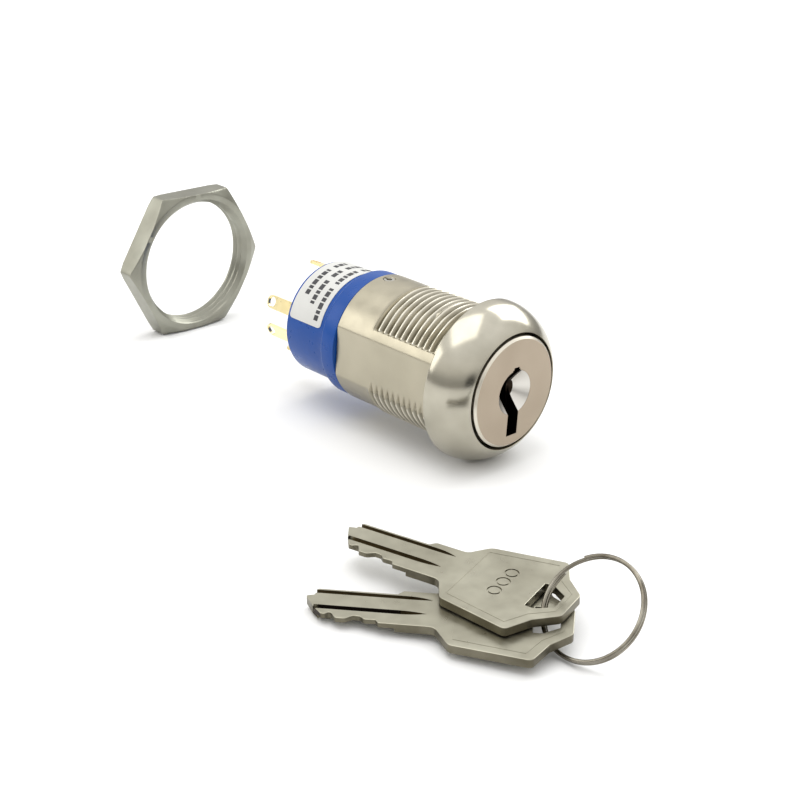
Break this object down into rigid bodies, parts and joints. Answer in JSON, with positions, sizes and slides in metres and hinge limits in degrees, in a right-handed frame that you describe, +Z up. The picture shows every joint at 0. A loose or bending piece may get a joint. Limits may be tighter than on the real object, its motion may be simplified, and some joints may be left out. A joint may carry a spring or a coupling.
{
  "type": "selector key switch",
  "caption": "Panel key switch: bezelled threaded barrel with flats, turning wafer lock plug, blue switch housing with solder lugs, hex nut, keys on a split ring.",
  "frame": {"origin": "centre of the barrel in the plane of the bezel's rear face, where the panel's front lies", "axes": "+Y along the lock axis from the key face to the solder lugs, +Z up, with the barrel's flats facing -X and +X"},
  "size_m": [0.0602, 0.1135, 0.0226],
  "materials": {
    "shell_nickel": "bright nickel plate, mirror polished on the bezel and satin on the barrel",
    "pin_steel": "plain",
    "blue_plastic": "moulded, glossy",
    "label_foil": "matt silver foil with dark printed bars",
    "base_plastic": "moulded",
    "gold_plate": "gold plate",
    "contact_silver": "plain",
    "plug_nickel": "satin nickel plate",
    "brass": "plain",
    "spring_steel": "drawn wire",
    "rotor_plastic": "moulded",
    "nut_steel": "tumbled nickel plate",
    "ring_steel": "bright wire",
    "key_nickel": "satin nickel plate"
  },
  "bodies": {
    "housing": {"barrel": "shell_nickel", "retaining_pin": "pin_steel", "stop_pin": "pin_steel", "switch_housing": "blue_plastic", "rating_label": "label_foil", "terminal_base": "base_plastic", "terminal_1": "gold_plate", "terminal_2": "gold_plate", "terminal_3": "gold_plate", "terminal_4": "gold_plate", "terminal_5": "gold_plate", "terminal_6": "gold_plate", "fixed_contacts": "contact_silver"},
    "lock_plug": {"plug": "plug_nickel", "wafer_springs": "spring_steel", "retaining_clip": "pin_steel", "drive_tail": "pin_steel", "rotor": "rotor_plastic", "moving_contact_1": "brass", "moving_contact_2": "brass", "contact_springs": "spring_steel", "detent_spring": "spring_steel"},
    "wafer_1": {"wafer_1": "brass"},
    "wafer_2": {"wafer_2": "brass"},
    "wafer_3": {"wafer_3": "brass"},
    "wafer_4": {"wafer_4": "brass"},
    "wafer_5": {"wafer_5": "brass"},
    "wafer_6": {"wafer_6": "brass"},
    "detent_ball": {"detent_ball": "pin_steel"},
    "mounting_nut": {"mounting_nut": "nut_steel"},
    "key_ring": {"key_ring": "ring_steel"},
    "key_1": {"key_1": "key_nickel"},
    "key_2": {"key_2": "key_nickel"}
  },
  "joints": [
    {"name": "plug_turn", "type": "hinge", "parent": "housing", "child": "lock_plug", "pos_m": [0, 0, 0], "axis": [0, 1, 0], "range_deg": [0, 90]},
    {"name": "wafer_1_slide", "type": "slide", "parent": "lock_plug", "child": "wafer_1", "axis": [0, 0, -1], "range_m": [0, 0.0007]},
    {"name": "wafer_2_slide", "type": "slide", "parent": "lock_plug", "child": "wafer_2", "axis": [0, 0, -1], "range_m": [0, 0.0007]},
    {"name": "wafer_3_slide", "type": "slide", "parent": "lock_plug", "child": "wafer_3", "axis": [0, 0, -1], "range_m": [0, 0.0007]},
    {"name": "wafer_4_slide", "type": "slide", "parent": "lock_plug", "child": "wafer_4", "axis": [0, 0, -1], "range_m": [0, 0.0007]},
    {"name": "wafer_5_slide", "type": "slide", "parent": "lock_plug", "child": "wafer_5", "axis": [0, 0, -1], "range_m": [0, 0.0007]},
    {"name": "wafer_6_slide", "type": "slide", "parent": "lock_plug", "child": "wafer_6", "axis": [0, 0, -1], "range_m": [0, 0.0007]},
    {"name": "detent_slide", "type": "slide", "parent": "lock_plug", "child": "detent_ball", "axis": [0, 0, -1], "range_m": [0, 0.00035]},
    {"name": "nut_run", "type": "slide", "parent": "housing", "child": "mounting_nut", "axis": [0, -1, 0], "range_m": [0, 0.06]},
    {"name": "ring_lift", "type": "slide", "parent": "housing", "child": "key_ring", "axis": [0, 0, 1], "range_m": [0, 0.03]},
    {"name": "key_1_swing", "type": "hinge", "parent": "key_ring", "child": "key_1", "pos_m": [-0.02907, -0.03686, -0.0077], "axis": [-0.0802, 0, 0.9968], "range_deg": [-40, 40]},
    {"name": "key_2_swing", "type": "hinge", "parent": "key_ring", "child": "key_2", "pos_m": [-0.03026, -0.03778, -0.00907], "axis": [-0.0802, 0, 0.9968], "range_deg": [-40, 10]}
  ],
  "couplings": [
    {"joint": "wafer_2_slide", "follows": "wafer_1_slide", "ratio": 1},
    {"joint": "wafer_3_slide", "follows": "wafer_1_slide", "ratio": 1},
    {"joint": "wafer_4_slide", "follows": "wafer_1_slide", "ratio": 1},
    {"joint": "wafer_5_slide", "follows": "wafer_1_slide", "ratio": 1},
    {"joint": "wafer_6_slide", "follows": "wafer_1_slide", "ratio": 1}
  ]
}
